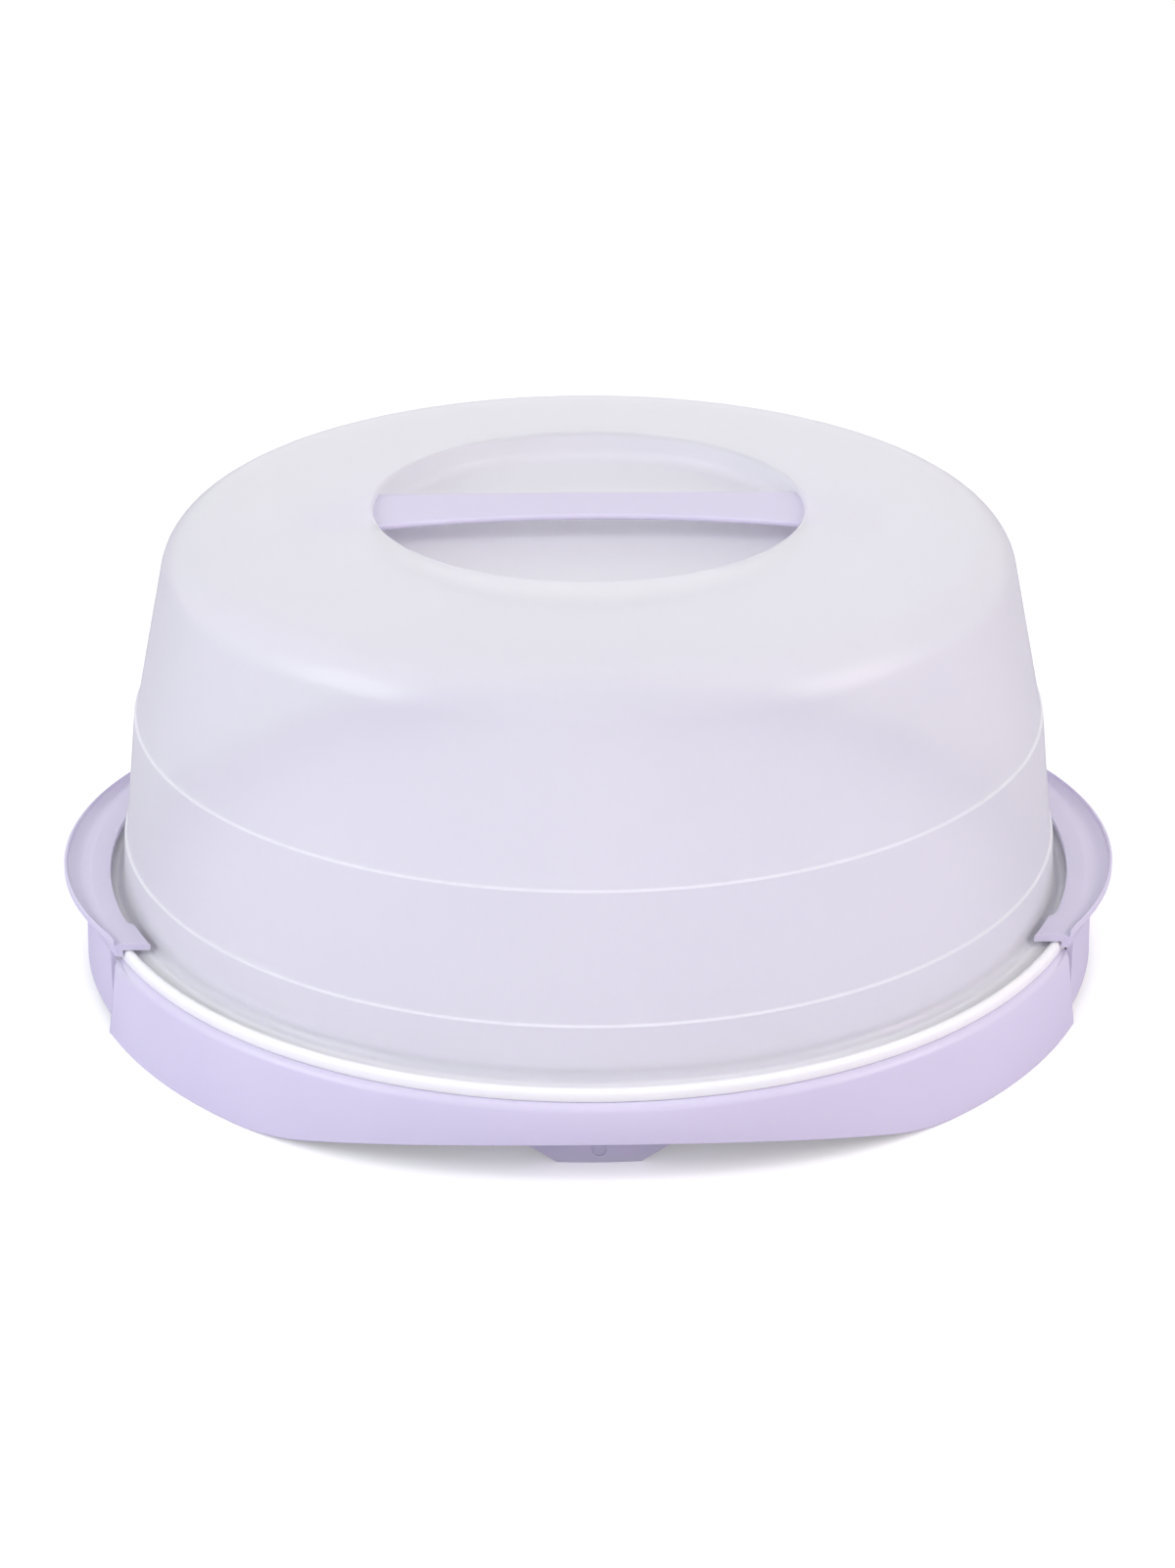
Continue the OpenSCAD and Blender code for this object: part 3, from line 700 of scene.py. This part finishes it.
lilac, tree, shader = new_material("lilac_polypropylene_moulded_satin")
drift = moulded_grain(tree, shader, 0.3, 0.38, grain_mm=1.6, depth_mm=0.03, strength=0.35)
drifting_colour(tree, shader, drift, ("#d0cae1", "#d6d0e5"))
set_inputs(shader, IOR=1.49, Subsurface_Weight=0.15, Subsurface_Radius=(0.003, 0.002, 0.004),
           Subsurface_Scale=1.0)
print("material:", lilac.name)

# %% [markdown]
# ### Frosted polypropylene
# The dome is clear plastic with a little milk in it, and a mould with a blasted cavity frosts
# its outer skin. So it glows softly, and shows only what is close behind it. The milk and the
# frosting are put together in the outer skin, which lets about half of the light through and
# scatters it, and the inner skin is smooth and clear. The wall's thickness isn't followed by
# the light, so a low IOR keeps it from bending twice. Where the wall thickens it turns white,
# at the bead the most. The flange behind the bead and the two step lines get a less clear,
# whiter finish; on the step lines that finish is a painted highlight, the bright line that the
# light lays along each step.
# A broad clear coat carries the soft highlights. The roughness stays above 0.28 everywhere,
# because a skin that drifts across that value renders in patches.

# %% Four finishes for the dome
FROST_IOR = 1.15
FROST_ROUGH, FROST_SPREAD = 0.35, 0.04


def frosted_plastic(name, colours, clearness, milk, sheen):
    material, tree, shader = new_material(name)
    drift = moulded_grain(tree, shader, FROST_ROUGH - FROST_SPREAD, FROST_ROUGH + FROST_SPREAD,
                          grain_mm=3, depth_mm=0.01, strength=0.1)
    drifting_colour(tree, shader, drift, colours)
    set_inputs(shader, IOR=FROST_IOR, Transmission_Weight=clearness, Subsurface_Weight=milk,
               Subsurface_Radius=(0.004, 0.004, 0.005), Subsurface_Scale=1.0,
               Sheen_Weight=sheen, Sheen_Roughness=0.4, Coat_Weight=0.5, Coat_Roughness=0.3)
    print("material:", name)
    return material


thin = frosted_plastic("clear_polypropylene_moulded_frosted", ("#fafafe", "#fdfdff"),
                       clearness=0.52, milk=0.0, sheen=0.4)
thick = frosted_plastic("clear_polypropylene_moulded_thick_rim", ("#fbfaff", "#fdfdff"),
                        clearness=0.05, milk=0.4, sheen=0.3)
# painted highlight: a less clear, whiter copy of the skin that draws the bright line along each
# step; the flange behind the bead gets it too
step_highlight_and_flange = frosted_plastic("clear_polypropylene_moulded_step_highlight_and_flange", ("#f6f6fa", "#f9f9fc"),
                        clearness=0.3, milk=0.1, sheen=0.2)
smooth, tree, shader = new_material("clear_polypropylene_moulded_smooth_inside")
set_inputs(shader, Base_Color=linear("#ffffff"), Roughness=0.12, IOR=FROST_IOR,
           Transmission_Weight=1.0)

# %% [markdown]
# Which finish a face of the dome gets follows from where it is and which way it faces. The well
# is the part where the outer skin faces the axis, so it is told apart by its radius first.

# %% Which finish a face of the dome shows
FLANGE_INNER_R = 157


def frosted_skin(face):
    """Which plastic a face shows: 0 outer skin, 1 thick rim, 2 inner skin, 3 flange and step lines,
    whose whiter finish paints the steps' highlight.
    """
    place, normal = face.center / MM, face.normal
    r = math.hypot(place.x, place.y)
    outwards = (normal.x * place.x + normal.y * place.y) / max(r, 1e-6)
    if r < WELL_R + WALL + 0.7:
        seen = normal.z > 0.02 or (outwards < -0.02 and normal.z > -0.02)
    else:
        seen = normal.z > 0.02 or outwards > 0.02
    if place.z < BEAD_TOP + 0.5 and r > FLANGE_R - BEAD_W - 0.4:
        return 1
    # painted highlight: the sloped step faces get the whiter finish that draws their bright line;
    # the flange behind the bead gets the same finish
    if seen and (place.z < FLANGE_TOP + 0.1 and r > FLANGE_INNER_R or
                 any(z < place.z < z + STEP_SLOPE for z in (STEP_LOW_Z, STEP_HIGH_Z))):
        return 3
    return 0 if seen else 2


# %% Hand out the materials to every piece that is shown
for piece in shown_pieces():
    mesh = piece.data
    mesh.materials.clear()
    if piece.name in ("frosted_dome", "lid"):
        for material in (thin, thick, smooth, step_highlight_and_flange):
            mesh.materials.append(material)
        for face in mesh.polygons:
            face.material_index = frosted_skin(face)
    else:
        mesh.materials.append(lilac)

# %% [markdown]
# ## Studio
# The carrier stands on a plain pale floor before a white backdrop, as in a catalogue picture.
# To the camera the floor is white, but the light that it throws back up is a pale lilac grey, as
# from a sheet that the object itself shades. What makes it white is seen by camera rays only.

# %% The floor
FLOOR_GLOW = 0.26
bm = bmesh.new()
bmesh.ops.create_grid(bm, x_segments=1, y_segments=1, size=6)
mesh = bpy.data.meshes.new("floor")
bm.to_mesh(mesh)
bm.free()
floor = bpy.data.objects.new("floor", mesh)
bpy.context.scene.collection.objects.link(floor)
paper, tree, shader = new_material("white_paper_floor")
rays = add_node(tree, "ShaderNodeLightPath")
tone = add_node(tree, "ShaderNodeMix", [(rays, "Is Camera Ray", "Factor")], data_type="RGBA")
socket(tone.inputs, "A").default_value = linear("#cfcad8")
socket(tone.inputs, "B").default_value = (1, 1, 1, 1)
tree.links.new(socket(tone.outputs, "Result"), shader.inputs["Base Color"])
set_inputs(shader, Roughness=0.9, Specular_IOR_Level=0.0, Emission_Color=(1, 1, 1, 1))
glow = add_node(tree, "ShaderNodeMath", [(rays, "Is Camera Ray", 0)], operation="MULTIPLY",
                number={1: FLOOR_GLOW})
tree.links.new(glow.outputs[0], shader.inputs["Emission Strength"])
floor.data.materials.append(paper)
print("floor:", paper.name)

# %% [markdown]
# The world gives the wide soft light. It is brighter near the horizon than overhead, so that
# upright walls stay light and the flat top and the well come out a shade darker. The camera,
# and everything that reflects or lets light through, see plain white instead, so the backdrop
# is white in the gloss and behind the dome as well.

# %% The world
HORIZON_LIGHT, ZENITH_LIGHT = 0.98, 0.54
world = bpy.data.worlds.new("studio")
bpy.context.scene.world = world
world.use_nodes = True
tree = world.node_tree
background = tree.nodes["Background"]
rays = add_node(tree, "ShaderNodeLightPath")
background.inputs["Color"].default_value = (0.985, 0.99, 1.0, 1)
sky = add_node(tree, "ShaderNodeTexCoord")
height = add_node(tree, "ShaderNodeSeparateXYZ", [(sky, "Generated", "Vector")])
level = add_node(tree, "ShaderNodeMapRange", [(height, "Z", "Value")], From_Min=0, From_Max=1,
                 To_Min=HORIZON_LIGHT, To_Max=ZENITH_LIGHT)
tree.links.new(level.outputs["Result"], background.inputs["Strength"])
backdrop = add_node(tree, "ShaderNodeBackground")
backdrop.inputs["Color"].default_value = (1, 1, 1, 1)
backdrop.inputs["Strength"].default_value = 1.0
mirrored = add_node(tree, "ShaderNodeMath", operation="MAXIMUM",
                    links=[(rays, "Is Glossy Ray", 0), (rays, "Is Transmission Ray", 1)])
shown = add_node(tree, "ShaderNodeMath", operation="MAXIMUM",
                 links=[(mirrored, 0, 0), (rays, "Is Camera Ray", 1)])
mix = add_node(tree, "ShaderNodeMixShader",
               links=[(shown, 0, 0), (background, 0, 1), (backdrop, 0, 2)])
tree.links.new(mix.outputs[0], tree.nodes["World Output"].inputs["Surface"])
print("world: strength", HORIZON_LIGHT, "at the horizon,", ZENITH_LIGHT, "overhead")

# %% [markdown]
# Four soft lamps shape the object. A long strip above and in front lays a faint highlight along
# the shoulder. A square lamp on each side, one slightly cool and one slightly warm, brightens
# the flanks, and a weak one in front opens the shadow under the strap and the latches.

# %% The lamps
def soft_lamp(name, width, depth, watts, place, target, colour):
    lamp = bpy.data.lights.new(name, "AREA")
    lamp.shape = "RECTANGLE"
    lamp.size, lamp.size_y = width, depth
    lamp.energy = watts
    lamp.color = linear(colour)[:3]
    holder = bpy.data.objects.new(name, lamp)
    bpy.context.scene.collection.objects.link(holder)
    holder.location = place
    holder.rotation_euler = (Vector(target) - Vector(place)).to_track_quat("-Z", "Y").to_euler()


soft_lamp("top_lamp", 2.0, 0.3, 4, (0, -0.75, 1.75), (0, 0, 0.1), "#ffffff")
soft_lamp("front_lamp", 1.2, 1.2, 1.5, (0, -1.9, 0.7), (0, 0, 0.08), "#ffffff")
soft_lamp("left_lamp", 0.9, 0.9, 13, (-1.5, -0.7, 0.9), (0, 0, 0.08), "#f0f3ff")
soft_lamp("right_lamp", 0.9, 0.9, 10, (1.5, -0.6, 0.8), (0, 0, 0.08), "#fff1f6")
print("lamps:", sorted(lamp.name for lamp in bpy.data.lights))

# %% [markdown]
# ## Camera
# The camera was fitted to the round edges of the carrier, which show as ellipses whose width and
# height give the pitch and the distance. The focal length is in pixels of a 1200 x 1602 frame,
# and the long side of the frame is the side that the sensor's width covers.

# %% The camera
TURN = math.radians(1.2)
PITCH = 0.42608
DISTANCE, HEIGHT = 1.100, 0.5548
FOCAL_PIXELS, LONG_SIDE, SHIFT_PIXELS, SENSOR_MM = 3709.9, 1602, -1.2, 36
camera_data = bpy.data.cameras.new("camera")
camera_data.sensor_width = SENSOR_MM
camera_data.lens = FOCAL_PIXELS / LONG_SIDE * SENSOR_MM
camera_data.shift_x = SHIFT_PIXELS / LONG_SIDE
camera = bpy.data.objects.new("camera", camera_data)
bpy.context.scene.collection.objects.link(camera)
camera.location = (-DISTANCE * math.sin(TURN), -DISTANCE * math.cos(TURN), HEIGHT)
camera.rotation_euler = (math.pi / 2 - PITCH, 0, -TURN)
bpy.context.scene.camera = camera
bpy.context.scene.view_settings.view_transform = "Standard"
print(f"camera: lens {camera_data.lens:.1f} mm, {HEIGHT:.3f} m above the table")

# %% Update the scene, and done
write_sizes()
